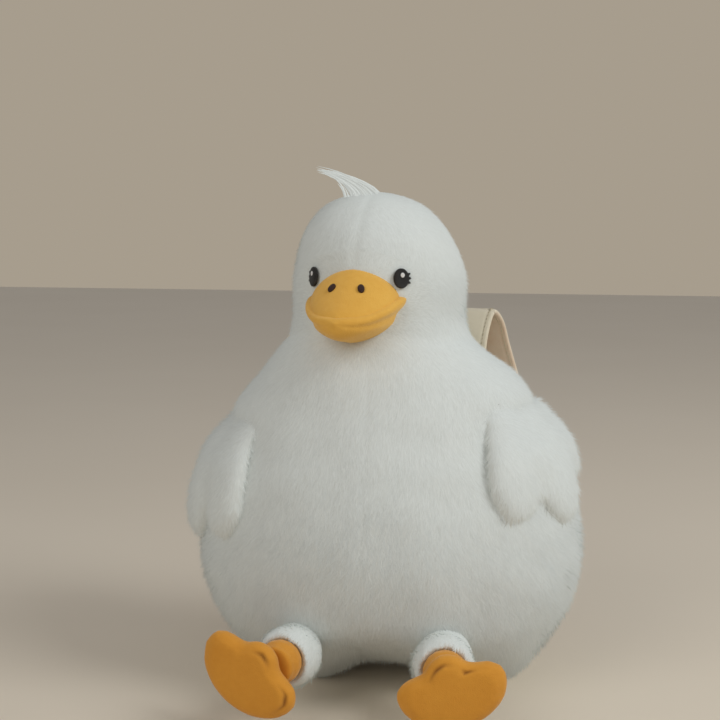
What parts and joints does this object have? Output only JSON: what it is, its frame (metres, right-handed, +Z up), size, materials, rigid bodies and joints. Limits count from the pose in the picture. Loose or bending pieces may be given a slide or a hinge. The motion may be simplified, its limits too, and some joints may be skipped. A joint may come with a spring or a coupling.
{
  "type": "plush animal backpack",
  "caption": "Seated plush goose backpack: hollow furry body with a zipped back, stuffed head, flapping wings, swinging webbed feet, padded shoulder straps and a carrying loop.",
  "frame": {"origin": "middle of the flat seat panel, on the table", "axes": "+Z up along the goose; the goose faces -Y; +X is the goose's own left side, which is the viewer's right"},
  "size_m": [0.3122, 0.2811, 0.3638],
  "materials": {
    "white_plush": "short white plush pile",
    "back_plush": "close-cropped white plush",
    "orange_plush": "orange velour",
    "dark_thread": "satin-stitched black thread",
    "brown_thread": "satin-stitched brown thread",
    "white_thread": "satin-stitched white thread",
    "wadding": "fibre filling",
    "lining": "plain woven lining",
    "strap_cloth": "cream padded cloth",
    "webbing_cloth": "cream woven webbing and zip tape",
    "zip_plastic": "moulded cream zip teeth",
    "zip_metal": "dull silver",
    "buckle_plastic": "moulded cream plastic"
  },
  "bodies": {
    "goose": {"body_cover": "white_plush", "seat_panel": "white_plush", "back_panel": "back_plush", "body_wadding": "wadding", "lining_pouch": "lining", "head_cover": "white_plush", "head_filling": "wadding", "beak_upper": "orange_plush", "beak_lower": "orange_plush", "hair_tuft": "white_plush", "nostril_left": "brown_thread", "eye_left": "dark_thread", "eye_glint_left": "white_thread", "strap_end_left": "strap_cloth", "strap_tab_left": "strap_cloth", "zip_tape_left": "webbing_cloth", "zip_teeth_left": "zip_plastic", "zip_top_stop_left": "zip_metal", "nostril_right": "brown_thread", "eye_right": "dark_thread", "eye_glint_right": "white_thread", "strap_end_right": "strap_cloth", "strap_tab_right": "strap_cloth", "zip_tape_right": "webbing_cloth", "zip_teeth_right": "zip_plastic", "zip_top_stop_right": "zip_metal", "loop_seam": "strap_cloth", "zip_bottom_stop": "zip_metal"},
    "wing_left": {"wing_left": "white_plush"},
    "leg_left": {"leg_left": "white_plush"},
    "foot_left": {"ankle_left": "orange_plush", "foot_left": "orange_plush"},
    "strap_left": {"strap_left": "strap_cloth", "webbing_left": "webbing_cloth"},
    "adjuster_left": {"adjuster_left": "buckle_plastic"},
    "wing_right": {"wing_right": "white_plush"},
    "leg_right": {"leg_right": "white_plush"},
    "foot_right": {"ankle_right": "orange_plush", "foot_right": "orange_plush"},
    "strap_right": {"strap_right": "strap_cloth", "webbing_right": "webbing_cloth"},
    "adjuster_right": {"adjuster_right": "buckle_plastic"},
    "carry_loop": {"carry_loop": "webbing_cloth"},
    "zip_slider": {"zip_slider": "zip_metal"},
    "zip_pull": {"zip_pull": "zip_metal"}
  },
  "joints": [
    {"name": "wing_left_flap", "type": "hinge", "parent": "goose", "child": "wing_left", "pos_m": [0.09062, -0.01953, 0.209], "axis": [-0.2784, -0.9605, 0], "range_deg": [0, 65]},
    {"name": "leg_left_swing", "type": "hinge", "parent": "goose", "child": "leg_left", "pos_m": [0.0545, -0.106, 0.041], "axis": [-1, 0, 0], "range_deg": [-25, 15]},
    {"name": "foot_left_tilt", "type": "hinge", "parent": "leg_left", "child": "foot_left", "pos_m": [0.05866, -0.12557, 0.041], "axis": [-0.9945, -0.1045, 0], "range_deg": [-12, 12]},
    {"name": "strap_left_swing", "type": "hinge", "parent": "goose", "child": "strap_left", "pos_m": [0.045, 0.0765, 0.203], "axis": [0.3294, -0.0767, -0.9411], "range_deg": [-7, 20]},
    {"name": "adjuster_left_slide", "type": "slide", "parent": "strap_left", "child": "adjuster_left", "axis": [0.0931, 0.6088, 0.7878], "range_m": [-0.001, 0.018]},
    {"name": "wing_right_flap", "type": "hinge", "parent": "goose", "child": "wing_right", "pos_m": [-0.09954, -0.02114, 0.195], "axis": [-0.2811, 0.9597, 0], "range_deg": [0, 65]},
    {"name": "leg_right_swing", "type": "hinge", "parent": "goose", "child": "leg_right", "pos_m": [-0.047, -0.10801, 0.041], "axis": [-1, 0, 0], "range_deg": [-25, 15]},
    {"name": "foot_right_tilt", "type": "hinge", "parent": "leg_right", "child": "foot_right", "pos_m": [-0.05047, -0.12768, 0.04205], "axis": [-0.9903, 0.1392, 0], "range_deg": [-12, 12]},
    {"name": "strap_right_swing", "type": "hinge", "parent": "goose", "child": "strap_right", "pos_m": [-0.045, 0.0765, 0.203], "axis": [0.3294, 0.0767, 0.9411], "range_deg": [-15, 20]},
    {"name": "adjuster_right_slide", "type": "slide", "parent": "strap_right", "child": "adjuster_right", "axis": [-0.8029, 0.4601, 0.3789], "range_m": [-0.005, 0.014]},
    {"name": "carry_loop_fold", "type": "hinge", "parent": "goose", "child": "carry_loop", "pos_m": [0, 0.08633, 0.208], "axis": [-1, 0, 0], "range_deg": [0, 80]},
    {"name": "zip_slide", "type": "slide", "parent": "goose", "child": "zip_slider", "axis": [0, 0, -1], "range_m": [0, 0.096], "deforming": ["zip_teeth_left", "zip_teeth_right"]},
    {"name": "zip_pull_swing", "type": "hinge", "parent": "zip_slider", "child": "zip_pull", "pos_m": [0, 0.0863, 0.1641], "axis": [1, 0, 0], "range_deg": [0, 150]}
  ]
}
